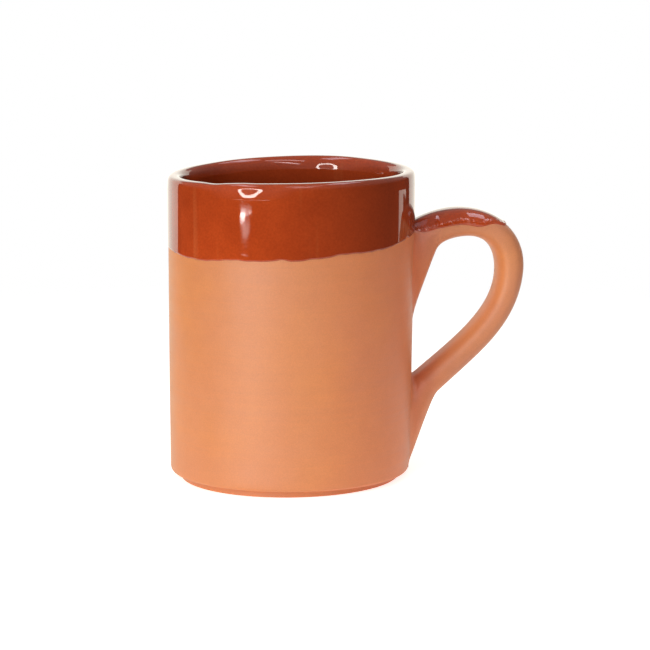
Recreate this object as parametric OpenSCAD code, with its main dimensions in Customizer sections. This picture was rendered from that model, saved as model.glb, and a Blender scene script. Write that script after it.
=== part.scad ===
// Straight-sided clay mug, thrown in red earthenware and dipped in honey glaze.
// +Z is up, the origin is the middle of the face that the mug stands on, and the handle points along +X.
// The cup is one turned piece. The handle is luted to it with slip, above and below.
// Glaze lines the inside. A second, tilted dip coats the rim outside and the crest of the handle.

/* [Cup] */
// Outside diameter of the clay wall at the rim
rim_d = 80; // [66:0.5:100]
// Outside diameter of the clay wall at its foot
base_d = 78.8; // [64:0.4:98]
// Height of the clay from the standing face to the crown of the lip
cup_h = 100; // [92:0.5:130]
// Thickness of the wall at the lip
lip_t = 4.6; // [3.4:0.1:7]
// Thickness of the wall just above the floor
wall_t = 5.2; // [3.6:0.1:8]
// Thickness of the floor
floor_t = 6; // [4:0.1:10]
// Radius of the inside corner between wall and floor
floor_round = 9; // [4:0.5:15]

/* [Foot] */
// Diameter of the foot
foot_d = 72; // [58:0.5:76]
// Height of the foot, up to the ledge under the wall
foot_h = 2.5; // [1.2:0.1:4]
// Height of the small bevel between the ledge and the wall
bevel_h = 0.8; // [0.4:0.1:2]
// Width of that bevel
bevel_w = 0.6; // [0.3:0.1:2]
// Diameter of the shallow hollow turned under the foot
hollow_d = 56; // [40:0.5:57]
// Depth of that hollow
hollow_depth = 0.8; // [0.4:0.1:2]

/* [Handle] */
// How far the handle stands out from the wall
handle_out = 36.9; // [28:0.1:50]
// How far the handle's crest lies below the crown of the lip
crest_drop = 13.3; // [10:0.1:18]
// Height of the lowest point of the lower tail
tail_z = 3.4; // [3.3:0.1:12]
// Thickness of the arm, seen from the side
arm_t = 8.8; // [7:0.1:12]
// Width of the arm across
arm_w = 15.5; // [11:0.1:19]
// Width of the handle where it spreads onto the wall
root_w = 20; // [14:0.1:24]
// Thickness of the slip that lutes the handle to the wall
slip_t = 0.5; // [0.4:0.05:1.2]

/* [Glaze] */
// Thickness of the fired glaze
glaze_t = 0.3; // [0.2:0.05:0.4]
// Depth of the dip at the cup's axis, measured down from the crown of the lip
dip_depth = 21; // [20:0.2:40]
// Tilt of the dip line, in degrees
dip_tilt = 4.7; // [0:0.1:6]
// Direction in which the dip line climbs, in degrees from the handle
dip_turn = 48; // [-90:1:90]

/* [Hidden] */

clay_colour = "#d98a5a";
slip_colour = "#c9774c";
glaze_colour = "#a8401f";
liner_colour = "#6f2617";

$fn = 96;
arc_steps = 10;
// One overrun serves every cut
over = 5;

rim_r = rim_d / 2;
base_r = base_d / 2;
foot_r = foot_d / 2;
hollow_r = hollow_d / 2;
lip_r = lip_t / 2;
crown_r = rim_r - lip_r;
shoulder_z = cup_h - lip_r;
base_z = foot_h + bevel_h;
floor_z = foot_h + floor_t;
crest_z = cup_h - crest_drop;
dip_z = cup_h - dip_depth;
in_top_r = rim_r - lip_t;
in_base_r = base_r - wall_t;
in_slope = atan((in_top_r - in_base_r) / (shoulder_z - floor_z));
// Centre of the inside corner's round, which touches the floor and the sloping wall
round_r = in_base_r + floor_round * tan(in_slope) - floor_round / cos(in_slope);
round_z = floor_z + floor_round;

// Radius of the outside of the clay wall at height z
function wall_r(z) = base_r + (rim_r - base_r) * (z - base_z) / (shoulder_z - base_z);

// Points of an arc about c, of radius r, from angle a0 to angle a1
function arc(c, r, a0, a1) = [
    for (i = [0 : arc_steps])
        let (a = a0 + (a1 - a0) * i / arc_steps)
        c + r * [cos(a), sin(a)]];

function reversed(p) = [for (i = [len(p) - 1 : -1 : 0]) p[i]];

// The inside's outline, from the axis to the crown of the lip, moved g into the hollow
function inside_line(g) = concat(
    [[0, floor_z + g]],
    arc([round_r, round_z], floor_round - g, -90, -in_slope),
    arc([crown_r, shoulder_z], lip_r + g, 180, 90));

// The outside's outline, from the crown of the lip down to height z, moved g outwards
function outside_line(g, z) = concat(
    arc([crown_r, shoulder_z], lip_r + g, 90, 0),
    [[wall_r(z) + g, z]]);

module clay_cup() {
    color(clay_colour)
    rotate_extrude()
    polygon(concat(
        inside_line(0),
        outside_line(0, base_z),
        [[base_r - bevel_w, foot_h],
         [foot_r, foot_h],
         [foot_r, 0],
         [hollow_r, 0],
         [hollow_r - hollow_depth, hollow_depth],
         [0, hollow_depth]]));
}

// The handle's outlines lie in the XZ plane. Each is a chain of five curves with four control points:
// upper root, shoulder, bow, lower arm and lower root. A point is its distance from the wall, as a
// share of how far the handle stands out, and its height, as a share of the rise from tail to crest.
// Both ends lie inside the wall.
outer_shares = [
    [[-0.05, 0.939], [0.036, 0.964], [0.135, 0.98], [0.215, 0.989]],
    [[0.215, 0.989], [0.294, 0.997], [0.356, 1], [0.409, 1]],
    [[0.409, 1], [0.751, 1], [1.027, 0.901], [0.998, 0.746]],
    [[0.998, 0.746], [0.954, 0.531], [0.61, 0.426], [0.257, 0.282]],
    [[0.257, 0.282], [0.2, 0.259], [0.179, 0.229], [-0.04, -0.038]]];
inner_shares = [
    [[-0.05, 0.536], [0.04, 0.636], [0.13, 0.753], [0.193, 0.832]],
    [[0.193, 0.832], [0.231, 0.878], [0.376, 0.994], [0.457, 0.996]],
    [[0.457, 0.996], [0.65, 1.001], [0.989, 0.841], [0.995, 0.758]],
    [[0.995, 0.758], [1.005, 0.6], [0.609, 0.416], [0.24, 0.265]],
    [[0.24, 0.265], [0.187, 0.251], [0.05, 0.228], [-0.04, 0.21]]];
// How much of the arm's thickness is added to each inner point, along X and along Z
thick_shares = [
    [[0, 0], [0, 0], [0, 0], [0, 0]],
    [[0, 0], [0, 0], [0, -1], [0, -1]],
    [[0, -1], [0, -1], [-1, 0], [-1, 0]],
    [[-1, 0], [-1, 0], [-0.68, 0.73], [-0.72, 0.845]],
    [[-0.72, 0.845], [-0.6, 0.9], [-0.2, 1], [0, 1]]];

// Sections along each of the five curves, and points round a section
curve_steps = [6, 5, 12, 14, 7];
ring_steps = 28;
// How far a section is from an ellipse, which is 2, towards a rectangle
squareness = 2.5;
handle_rise = crest_z - tail_z;
half_w = arm_w / 2;
spread = (root_w - arm_w) / 2;

function by_share(s) =
    let (z = tail_z + handle_rise * s[1])
    [wall_r(z) + handle_out * s[0], z];

// Point of a curve with four control points p, at t from 0 to 1
function curve(p, t) =
    p[0] * pow(1 - t, 3) + p[1] * 3 * t * pow(1 - t, 2) + p[2] * 3 * t * t * (1 - t) + p[3] * pow(t, 3);

function outer_points(k) = [for (s = outer_shares[k]) by_share(s)];
function inner_points(k) = [for (i = [0 : 3]) by_share(inner_shares[k][i]) + arm_t * thick_shares[k][i]];

// Half the handle's width: it spreads towards the wall along the first and last curves
function half_width(k, t) = half_w + spread * (k == 0 ? pow(1 - t, 2) : k == 4 ? t * t : 0);

// Every section as its outer point, its inner point and half its width
stations = [
    for (k = [0 : 4])
        for (i = [(k == 0 ? 0 : 1) : curve_steps[k]])
            let (t = i / curve_steps[k])
            [curve(outer_points(k), t), curve(inner_points(k), t), half_width(k, t)]];

function rounded(v) = sign(v) * pow(abs(v), 2 / squareness);

// Points round one section, moved g outwards
function section(s, g) =
    let (middle = (s[0] + s[1]) / 2, reach = (s[0] - s[1]) / 2, grown = reach * (1 + g / norm(reach)))
    [for (j = [0 : ring_steps - 1])
        let (a = 360 * j / ring_steps, p = middle + grown * rounded(cos(a)))
        [p[0], (s[2] + g) * rounded(sin(a)), p[1]]];

// The whole handle before it is cut to the wall, moved g outwards
module handle_blank(g) {
    n = len(stations);
    points = [for (s = stations) each section(s, g)];
    sides = [
        for (i = [0 : n - 2])
            for (j = [0 : ring_steps - 1])
                let (a = i * ring_steps + j, b = i * ring_steps + (j + 1) % ring_steps)
                each [[a, b, a + ring_steps], [b, b + ring_steps, a + ring_steps]]];
    first = [for (j = [ring_steps - 1 : -1 : 0]) j];
    last = [for (j = [0 : ring_steps - 1]) (n - 1) * ring_steps + j];
    polyhedron(points, concat([first], sides, [last]));
}

// The wall's outside, moved g outwards, as a solid cone from z0 to z1
module wall_cone(g, z0, z1) {
    translate([0, 0, z0])
    cylinder(h = z1 - z0, r1 = wall_r(z0) + g, r2 = wall_r(z1) + g);
}

module handle() {
    color(clay_colour)
    difference() {
        handle_blank(0);
        wall_cone(slip_t, -over, cup_h + over);
    }
}

// Slip between the handle and the wall, from z0 to z1
module slip_seam(z0, z1) {
    intersection() {
        handle_blank(0);
        difference() {
            wall_cone(slip_t, z0, z1);
            wall_cone(0, z0 - over, z1 + over);
        }
    }
}

// A height between the two roots, as a share of the rise from tail to crest
between_share = 0.45;
between_z = tail_z + handle_rise * between_share;

module slip_seam_upper() {
    color(slip_colour)
    slip_seam(between_z, cup_h);
}

module slip_seam_lower() {
    color(slip_colour)
    slip_seam(base_z, between_z);
}

module glaze_liner() {
    color(liner_colour)
    rotate_extrude()
    polygon(concat(inside_line(0), reversed(inside_line(glaze_t))));
}

// Everything above the tilted dip line
module above_dip() {
    side = 2 * (rim_d + handle_out);
    translate([0, 0, dip_z])
    rotate([0, 0, dip_turn])
    rotate([0, -dip_tilt, 0])
    translate([-side / 2, -side / 2, 0])
    cube([side, side, cup_h]);
}

module glaze_band() {
    low_z = dip_z - rim_d * tan(dip_tilt);
    color(glaze_colour)
    difference() {
        intersection() {
            rotate_extrude()
            polygon(concat(outside_line(0, low_z), reversed(outside_line(glaze_t, low_z))));
            above_dip();
        }
        handle_blank(0);
    }
}

module handle_glaze() {
    color(glaze_colour)
    intersection() {
        difference() {
            handle_blank(glaze_t);
            handle_blank(0);
            wall_cone(glaze_t, -over, cup_h + over);
        }
        above_dip();
    }
}

clay_cup();
handle();
slip_seam_upper();
slip_seam_lower();
glaze_liner();
glaze_band();
handle_glaze();
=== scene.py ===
# %% [markdown]
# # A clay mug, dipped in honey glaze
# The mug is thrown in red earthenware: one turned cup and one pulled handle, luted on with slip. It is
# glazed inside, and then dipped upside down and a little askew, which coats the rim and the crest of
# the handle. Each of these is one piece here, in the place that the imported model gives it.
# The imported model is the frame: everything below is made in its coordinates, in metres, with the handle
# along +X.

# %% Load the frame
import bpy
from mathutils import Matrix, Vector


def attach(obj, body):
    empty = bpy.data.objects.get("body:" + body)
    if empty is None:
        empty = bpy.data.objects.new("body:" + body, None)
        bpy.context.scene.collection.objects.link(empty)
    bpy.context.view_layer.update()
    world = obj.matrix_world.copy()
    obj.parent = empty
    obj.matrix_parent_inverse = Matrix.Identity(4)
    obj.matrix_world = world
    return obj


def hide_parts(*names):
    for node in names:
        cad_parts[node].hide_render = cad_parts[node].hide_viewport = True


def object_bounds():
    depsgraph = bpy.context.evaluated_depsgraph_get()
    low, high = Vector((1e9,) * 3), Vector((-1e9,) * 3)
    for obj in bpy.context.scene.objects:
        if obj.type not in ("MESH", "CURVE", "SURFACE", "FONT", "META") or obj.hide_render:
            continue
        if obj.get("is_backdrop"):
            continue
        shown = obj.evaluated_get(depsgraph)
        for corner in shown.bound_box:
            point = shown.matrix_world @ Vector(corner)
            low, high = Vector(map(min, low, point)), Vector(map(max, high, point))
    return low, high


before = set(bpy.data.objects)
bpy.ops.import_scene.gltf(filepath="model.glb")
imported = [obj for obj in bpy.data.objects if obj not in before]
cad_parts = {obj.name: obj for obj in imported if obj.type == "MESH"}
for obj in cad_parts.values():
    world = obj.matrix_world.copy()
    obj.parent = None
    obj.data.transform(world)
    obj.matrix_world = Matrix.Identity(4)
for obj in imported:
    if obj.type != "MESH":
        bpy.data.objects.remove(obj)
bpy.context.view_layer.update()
print("nodes:", sorted(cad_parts))

# %% Modules and unit
import math
import bpy
import numpy as np
from mathutils import Matrix, Vector

MM = 0.001

# %% [markdown]
# ## The camera
# The picture was taken with a long lens from about a metre away, a little above the rim. The place and
# the lens were found by fitting the rim's two edges, the straight sides and the foot. The handle points
# 7 degrees away from the picture plane, so the camera goes round the mug by that much, the other way.
# Its three directions are worked out as vectors and put into its matrix, because a slight roll is part
# of the fit, and a matrix takes it exactly.

# %% Camera
TURN = math.radians(7)


def from_picture(x, y, z):
    """A place given with the picture plane as XZ, in mm, in the frame's own directions."""
    c, s = math.cos(TURN), math.sin(TURN)
    return Vector((c * x + s * y, c * y - s * x, z))


DISTANCE, ELEVATION, ROLL = 960, math.radians(9.824), math.radians(-0.426)
PIVOT_Z, AIM_X, AIM_Z = 50, 11.762, 49.371
SENSOR, LENS = 36, 162.65
place = from_picture(0, -DISTANCE * math.cos(ELEVATION), PIVOT_Z + DISTANCE * math.sin(ELEVATION))
aim = from_picture(AIM_X, 0, AIM_Z)
ahead = (aim - place).normalized()
level = ahead.cross(Vector((0, 0, 1))).normalized()
upright = level.cross(ahead)
right = level * math.cos(ROLL) + upright * math.sin(ROLL)
up = upright * math.cos(ROLL) - level * math.sin(ROLL)

camera = bpy.data.objects.new("camera", bpy.data.cameras.new("camera"))
camera.data.sensor_width = SENSOR
camera.data.lens = LENS
camera.matrix_world = Matrix.Translation(place * MM) @ Matrix((right, up, -ahead)).transposed().to_4x4()
bpy.context.collection.objects.link(camera)
bpy.context.scene.camera = camera
bpy.context.scene.view_settings.view_transform = "Standard"
print("camera at", [round(v) for v in place], "mm")

# %% [markdown]
# ## Colours and nodes
# Colours are written as they are read on a screen, as hex values. Blender calculates in linear light,
# so one function turns them. Another adds a node, sets what it is given and links the rest, so that a
# material reads as a list of its nodes. A noise texture's scale counts its cells in a metre, so one
# function works it out from a size in mm.

# %% Colour and node helpers
# A Mix node has sockets for several kinds of value. These are the ones for colours.
FACTOR, FIRST, SECOND, MIXED = 0, 6, 7, 2


def linear(code):
    """The linear colour for a hex value such as #d98a5a."""
    parts = [int(code[i:i + 2], 16) / 255 for i in (1, 3, 5)]
    return [p / 12.92 if p <= 0.04045 else ((p + 0.055) / 1.055) ** 2.4 for p in parts] + [1]


def add(tree, kind, inputs=None, **settings):
    """A new node with its settings. An input takes a value, or the output that it is linked to."""
    node = tree.nodes.new("ShaderNode" + kind)
    for name, value in settings.items():
        setattr(node, name, value)
    for name, value in (inputs or {}).items():
        if isinstance(value, bpy.types.NodeSocket):
            tree.links.new(value, node.inputs[name])
        else:
            node.inputs[name].default_value = value
    return node


def scale_for(size):
    """The scale at which the cells of a noise texture have this size in mm."""
    return 1 / (size * MM)


def new_material(name):
    material = bpy.data.materials.new(name)
    material.use_nodes = True
    material.node_tree.nodes.clear()
    return material, material.node_tree


print("mid clay in linear light:", [round(v, 3) for v in linear("#da864d")[:3]])

# %% [markdown]
# ## What the hand does
# A thrown mug is never quite a cone. This one leans by a millimetre towards the handle, its rim is tilted
# and a little bent, the lip is pressed down or drawn up in a few places, and the knife cut the base a
# little narrower below the handle. Each piece could be bent by hand in edit mode. Here all go through one
# function that bends space in this way, so that they stay together where they meet.

# %% Sizes of the turned cup, in mm
RIM_R, BASE_R, CUP_H = 40, 39.4, 100
LIP_R, GLAZE_T = 2.3, 0.3
CROWN_R, SHOULDER_Z = 37.6, CUP_H - LIP_R
FOOT_R, FOOT_H, BASE_Z = 36, 2.5, 3.3
HOLLOW_R, HOLLOW_Z = 28, 0.8
FLOOR_Z, FLOOR_ROUND, WALL_T = 8.5, 9, 5.2


def wall_r(z):
    return BASE_R + (RIM_R - BASE_R) * (z - BASE_Z) / (SHOULDER_Z - BASE_Z)


print(f"the wall stands out {wall_r(CUP_H) - wall_r(BASE_Z):.1f} mm more at the top than at its foot")

# %% The hand's unevenness
LEAN, TILT, BEND = 1.22, 0.52, -0.48
# What the knife took off the base below the handle: how much, about which height, over what height
CUT_IN, CUT_Z, CUT_H = 0.6, 4, 3
# How far the ledge hangs lower there, as a share of its height, and over what height
DROP_SHARE, DROP_H = 0.36, 5
# Where the lip is pressed down or drawn up: azimuth from the handle, width in degrees, height
LIP_WAVES = [(-137, 6, -0.30), (-121, 4, 0.12), (-60, 14, 0.06), (60, 16, 0.12), (128, 12, -0.10)]


def bump(angle, centre, width):
    """1 at the centre azimuth, fading round the cup. All in degrees."""
    away = (angle - centre + 180) % 360 - 180
    return np.exp(-(away / width) ** 2)


def by_hand(p):
    """Points of the true cone, in mm, where the potter's hand left them."""
    x, y, z = p[..., 0], p[..., 1], p[..., 2]
    rise = np.clip(z / CUP_H, 0, 1.02)
    c, s = math.cos(TURN), math.sin(TURN)
    # Across and into the picture, no further out than the wall
    u, v = np.clip(c * x - s * y, -RIM_R, RIM_R), np.clip(s * x + c * y, -RIM_R, RIM_R)
    angle = np.degrees(np.arctan2(y, x))
    wave = sum(height * bump(angle, at, width) for at, width, height in LIP_WAVES)
    lift = rise ** 3 * (TILT * u + BEND * (u * u - v * v) / RIM_R) / RIM_R + rise ** 12 * wave
    by_handle = np.clip(u / RIM_R, 0, 1) ** 1.5
    shift = LEAN * rise - CUT_IN * by_handle * np.exp(-((z - CUT_Z) / CUT_H) ** 2)
    lift = lift - DROP_SHARE * by_handle * z * np.exp(-(z / DROP_H) ** 2)
    return np.stack([x + shift * c, y - shift * s, z + lift], -1)


def uneven(angle, z):
    """How far the thrown wall stands off the true cone, in mm. Angles are in radians."""
    return (0.05 * np.sin(2 * angle + z / 31) + 0.03 * np.sin(5 * angle - z / 17 + 1)
            + 0.02 * np.sin(9 * angle + z / 9 + 2))


rim_right = by_hand(np.array([RIM_R, 0, CUP_H]))
print("the rim by the handle lies at", [round(float(v), 1) for v in rim_right], "mm")

# %% [markdown]
# ## The mesh maker
# Every piece of the mug is a stack of loops of points: round the cup, or round the handle. One function
# joins such a stack into a closed mesh. Either the last loop joins the first, as in a ring, or both
# ends are closed by a fan of triangles. It can take the normals as they are worked out from the whole
# surface. The two glazes meet on the crown of the lip, and with shared normals the join can't be seen.

# %% Mesh maker
def facing(grid, poles=False):
    """Unit normals of a grid of points whose columns go round, from the differences of neighbours."""
    down = np.gradient(grid, axis=0)
    across = np.roll(grid, -1, axis=1) - np.roll(grid, 1, axis=1)
    normal = np.cross(across, down)
    length = np.linalg.norm(normal, axis=2, keepdims=True)
    normal = normal / np.maximum(length, 1e-12)
    if poles:
        normal[0] = normal[1].mean(axis=0) / np.linalg.norm(normal[1].mean(axis=0))
    return normal


def loft(name, loops, ring=False, normals=None):
    """A closed mesh through the loops, given in mm. Their order makes the normals point out."""
    rows, cols = loops.shape[:2]
    points = loops.reshape(-1, 3)
    faces = []
    for i in range(rows if ring else rows - 1):
        a, b = i * cols, (i + 1) % rows * cols
        faces += [(a + j, b + j, b + (j + 1) % cols, a + (j + 1) % cols) for j in range(cols)]
    if not ring:
        points = np.concatenate([points, [loops[0].mean(axis=0), loops[-1].mean(axis=0)]])
        first, last, end = rows * cols, rows * cols + 1, (rows - 1) * cols
        faces += [(first, j, (j + 1) % cols) for j in range(cols)]
        faces += [(last, end + (j + 1) % cols, end + j) for j in range(cols)]
    mesh = bpy.data.meshes.new(name)
    mesh.from_pydata((points * MM).tolist(), [], faces)
    mesh.shade_smooth()
    if normals is not None:
        flat = normals.reshape(-1, 3)
        if not ring:
            flat = np.concatenate([flat, [normals[0].mean(axis=0), normals[-1].mean(axis=0)]])
        mesh.normals_split_custom_set_from_vertices(flat.tolist())
    piece = bpy.data.objects.new(name, mesh)
    bpy.context.collection.objects.link(piece)
    size = points.max(axis=0) - points.min(axis=0)
    print(f"{name}: {len(faces)} faces, {size[0]:.1f} x {size[1]:.1f} x {size[2]:.1f} mm")
    return piece


def finish_piece(piece, node, material):
    """Gives the piece its finish, hides the part of the imported model that it stands for, and hangs it on
    the root.
    """
    piece.data.materials.append(material)
    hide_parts(node)
    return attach(piece, "root")

# %% [markdown]
# ## The turned cup
# The cup was thrown on a wheel, so it is one outline turned about the axis. The outline is a list of
# short curves: the floor, the round inside corner, the wall, the lip, the outside, a ledge, the foot and
# the shallow hollow under it. Every edge has a small round, because wet clay has no sharp edges and a
# round catches light. The inside keeps the ridges that the fingers left, climbing as one long spiral.
# On the lip a thumb left a flat outside and a finger one inside, further round. A Screw modifier could
# turn the outline too. The points are worked out here, as the glaze is laid on the same points later.

# %% Outlines of the inside and the outside
IN_TOP_R, IN_BASE_R = RIM_R - 2 * LIP_R, BASE_R - WALL_T
SLOPE = math.atan((IN_TOP_R - IN_BASE_R) / (SHOULDER_Z - FLOOR_Z))
ROUND_R = IN_BASE_R + FLOOR_ROUND * math.tan(SLOPE) - FLOOR_ROUND / math.cos(SLOPE)


def arc(centre, radius, start, end, steps):
    a = np.radians(np.linspace(start, end, steps + 1))
    return np.stack([centre[0] + radius * np.cos(a), centre[1] + radius * np.sin(a)], -1)


def straight(start, end, steps):
    return np.linspace(start, end, steps + 1)


def bezier(p, t):
    """The point at t, from 0 to 1, on the curve that four control points draw."""
    t = t[..., None]
    return (p[..., 0, :] * (1 - t) ** 3 + p[..., 1, :] * 3 * t * (1 - t) ** 2
            + p[..., 2, :] * 3 * t * t * (1 - t) + p[..., 3, :] * t ** 3)


# The fingers squeezed the lip from both sides and flattened its crown
LIP_Z = 96
LIP_INSIDE = np.array([[IN_TOP_R, LIP_Z + 0.2], [35.7, 99], [36.2, CUP_H], [CROWN_R, CUP_H]])
LIP_OUTSIDE = np.array([[CROWN_R, CUP_H], [39.9, CUP_H], [39.85, 99.7], [wall_r(LIP_Z), LIP_Z]])

# The first and last loops stay this far from the axis, and a fan of triangles closes them
AXIS_GAP = 0.4
inside_line = np.concatenate([
    straight((AXIS_GAP, FLOOR_Z), (ROUND_R, FLOOR_Z), 30)[:-1],
    arc((ROUND_R, FLOOR_Z + FLOOR_ROUND), FLOOR_ROUND, -90, -math.degrees(SLOPE), 16),
    straight((IN_BASE_R + FLOOR_ROUND * math.tan(SLOPE), FLOOR_Z + FLOOR_ROUND),
             LIP_INSIDE[0] - [0, 0.05], 110)[1:],
    bezier(LIP_INSIDE, np.linspace(0, 1, 30))])
outside_lip = bezier(LIP_OUTSIDE, np.linspace(0, 1, 34))
# Rounds of the base's edge, the ledge and foot, the corner over the foot, and the hollow's step
BASE_ROUND, SOFT, FILLET, STEP_ROUND = 1.23, 0.3, 1.2, 0.4
LEDGE_R = 38.64
underside_line = np.concatenate([
    arc((BASE_R - 1.25, BASE_Z + 0.29), BASE_ROUND, -6, -58, 8),
    arc((LEDGE_R, FOOT_H + SOFT), SOFT, -58, -90, 3),
    straight((LEDGE_R - 0.34, FOOT_H), (FOOT_R + FILLET + 0.2, FOOT_H), 2),
    arc((FOOT_R + FILLET, FOOT_H - FILLET), FILLET, 90, 180, 6),
    arc((FOOT_R - SOFT, SOFT), SOFT, 0, -90, 5),
    straight((FOOT_R - 0.9, 0), (HOLLOW_R + 0.8, 0), 10),
    arc((HOLLOW_R + STEP_ROUND, STEP_ROUND), STEP_ROUND, -90, -150, 3),
    arc((HOLLOW_R - 1.1, HOLLOW_Z - STEP_ROUND), STEP_ROUND, 30, 90, 3),
    straight((HOLLOW_R - 1.8, HOLLOW_Z), (AXIS_GAP, HOLLOW_Z), 40)])
print("outline points:", len(inside_line), len(outside_lip), len(underside_line))

# %% Place points on the turned cup
COLS = 384
azimuth = np.radians(np.arange(COLS) * 360 / COLS - 180)
# Azimuths of the two flats on the lip, and the heights at which they begin
FINGER_AT, THUMB_AT = 65, -117
FINGER_Z, THUMB_Z = LIP_Z + 0.2, LIP_Z - 0.5
# Lean of a flat, how much it grows with height, and its half width in degrees
FLAT_LEAN, FLAT_GROWTH, FLAT_WIDTH = 0.125, 0.008, 19
# Height of a finger ridge and the climb from one to the next
RIDGE_T, RIDGE_STEP = 0.16, 5.5


def pressed(angle, z, centre, start):
    """How far a fingertip pushed the lip above the height start, about the centre azimuth, in mm."""
    away = (np.degrees(angle) - centre + 180) % 360 - 180
    climb = np.clip(z - start, 0, None)
    return (FLAT_LEAN * climb + FLAT_GROWTH * climb ** 2) * np.exp(-(away / FLAT_WIDTH) ** 4)


def turned(r, z, inside=0.0, ridges=0.0):
    """Points at radius r and height z for each azimuth. Ridges is the height of the finger ridges."""
    r, z, a = np.broadcast_arrays(r, z, azimuth[None, :])
    spiral = np.sin(2 * math.pi * z / RIDGE_STEP + a) * ridges
    finger, thumb = pressed(a, z, FINGER_AT, FINGER_Z), pressed(a, z, THUMB_AT, THUMB_Z)
    # Near the crown the lip moves as a whole, so the two sides meet
    both = np.clip((z - (CUP_H - 2.5)) / 2.5, 0, 1) ** 2
    off = uneven(a, z) + np.where(inside, spiral + finger - thumb * both, finger * both - thumb)
    r = r + off * np.clip(r / 10, 0, 1)
    return by_hand(np.stack([r * np.cos(a), r * np.sin(a), z], -1))


def column(line):
    return line[:, :1], line[:, 1:]


# The ridges fade in above the floor and out below the lip
above_floor = np.clip((inside_line[:, 1:] - 12) / 10, 0, 1)
below_rim = np.clip((92 - inside_line[:, 1:]) / 10, 0, 1)
inside_rows = turned(*column(inside_line), inside=True, ridges=RIDGE_T * above_floor * below_rim)
wall_line = straight((wall_r(LIP_Z), LIP_Z), (BASE_R, BASE_Z + 0.3), 70)[1:]
outside_rows = turned(*column(np.concatenate([outside_lip[1:], wall_line])))
underside_rows = turned(*column(underside_line[1:]))
print("rows:", len(inside_rows), len(outside_rows), len(underside_rows))

# %% [markdown]
# ## Red earthenware
# Common red clay, fired at about 1000 degrees and left bare: porous, matt and chalky, with an orange to
# pink cast that wanders where the fire and the damp were uneven. Towards the handle it is painted redder
# and darker, a painted shade on the side that the lamp reaches less. On the handle's arm, the side that
# faces the cup is painted lighter and the outer side darker: painted light and shade. Seen edge on, it is
# painted greyer and less red, a painted sheen. A wet sponge went round the wall on the wheel, which drew
# the fine grit into faint level lines and left a soft sheen. The handle was pulled by hand, so its lines
# run along it.
# Noise textures at these sizes give the cast (25 mm), the blotches (6 mm), the sponge's lines (0.8 mm
# apart) and the grit (0.4 mm). An image could give them too, but noise has no seam and keeps its size
# in mm on every piece. Fired clay reflects like most minerals, so its IOR is 1.5.

# %% Painted shade and light on the clay
# Shares of red, green and blue that the clay's colour is multiplied by: as it is, and under the painted
# shade on the side towards the handle
UNSHADED, PAINTED_SIDE_SHADE = (1, 1.02, 1, 1), (0.97, 0.76, 0.78, 1)
# The same on the handle's arm: painted light on the side that faces the cup, painted shade on its outer
# side
PAINTED_LIGHT_TOWARDS_CUP, PAINTED_SHADE_OUTSIDE = (1.11, 1.28, 1.28, 1), (0.84, 0.85, 0.98, 1)
print("at the roots the flash leaves", PAINTED_SIDE_SHADE[:3], "of red, green and blue")


def painted_light_and_shade(tree, colour, place, low_side_shade, arm_shading):
    """Painted shade: redder and darker towards the handle's roots, on the side that the lamp reaches less,
    and gone on its arm. Low down, the share low_side_shade of it is left. arm_shading is how far the
    painted light on the arm's inner side and the painted shade on its outer side go."""
    axes = add(tree, "SeparateXYZ", {"Vector": place["Object"]}).outputs
    near = add(tree, "MapRange", {"Value": axes["X"], "From Min": 0, "From Max": 38 * MM})
    past = add(tree, "MapRange", {"Value": axes["X"], "From Min": 40 * MM, "From Max": 50 * MM})
    left = add(tree, "MapRange", {"Value": axes["Z"], "From Min": 45 * MM, "From Max": 65 * MM,
                                  "To Min": low_side_shade})
    # Painted shade on the side towards the handle, weaker low down
    side_shade = add(tree, "Math", {0: near.outputs["Result"], 1: past.outputs["Result"]}, operation="SUBTRACT")
    side_shade = add(tree, "Math", {0: side_shade.outputs["Value"], 1: left.outputs["Result"]}, operation="MULTIPLY")
    side_shade = add(tree, "Mix", {FACTOR: side_shade.outputs["Value"], FIRST: UNSHADED, SECOND: PAINTED_SIDE_SHADE},
                data_type="RGBA")
    colour = add(tree, "Mix", {FACTOR: 1.0, FIRST: colour, SECOND: side_shade.outputs[MIXED]},
                 data_type="RGBA", blend_type="MULTIPLY")
    # Painted light on the arm's side that faces the cup, painted shade on its outer side
    outward = add(tree, "SeparateXYZ", {"Vector": place["Normal"]}).outputs["X"]
    outward = add(tree, "MapRange", {"Value": outward, "From Min": -0.8, "From Max": 0.8})
    arm_light_and_shade = add(tree, "Mix", {FACTOR: outward.outputs["Result"], FIRST: PAINTED_LIGHT_TOWARDS_CUP, SECOND: PAINTED_SHADE_OUTSIDE},
                data_type="RGBA")
    reach = add(tree, "MapRange", {"Value": axes["X"], "From Min": 43 * MM, "From Max": 55 * MM,
                                   "To Max": arm_shading})
    colour = add(tree, "Mix", {FACTOR: reach.outputs["Result"], FIRST: colour.outputs[MIXED],
                               SECOND: arm_light_and_shade.outputs[MIXED]}, data_type="RGBA", blend_type="MULTIPLY")
    return colour.outputs[MIXED]

# %% Earthenware
CAST, BLOTCH, GRIT = 25, 5.882, 0.4167


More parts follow.
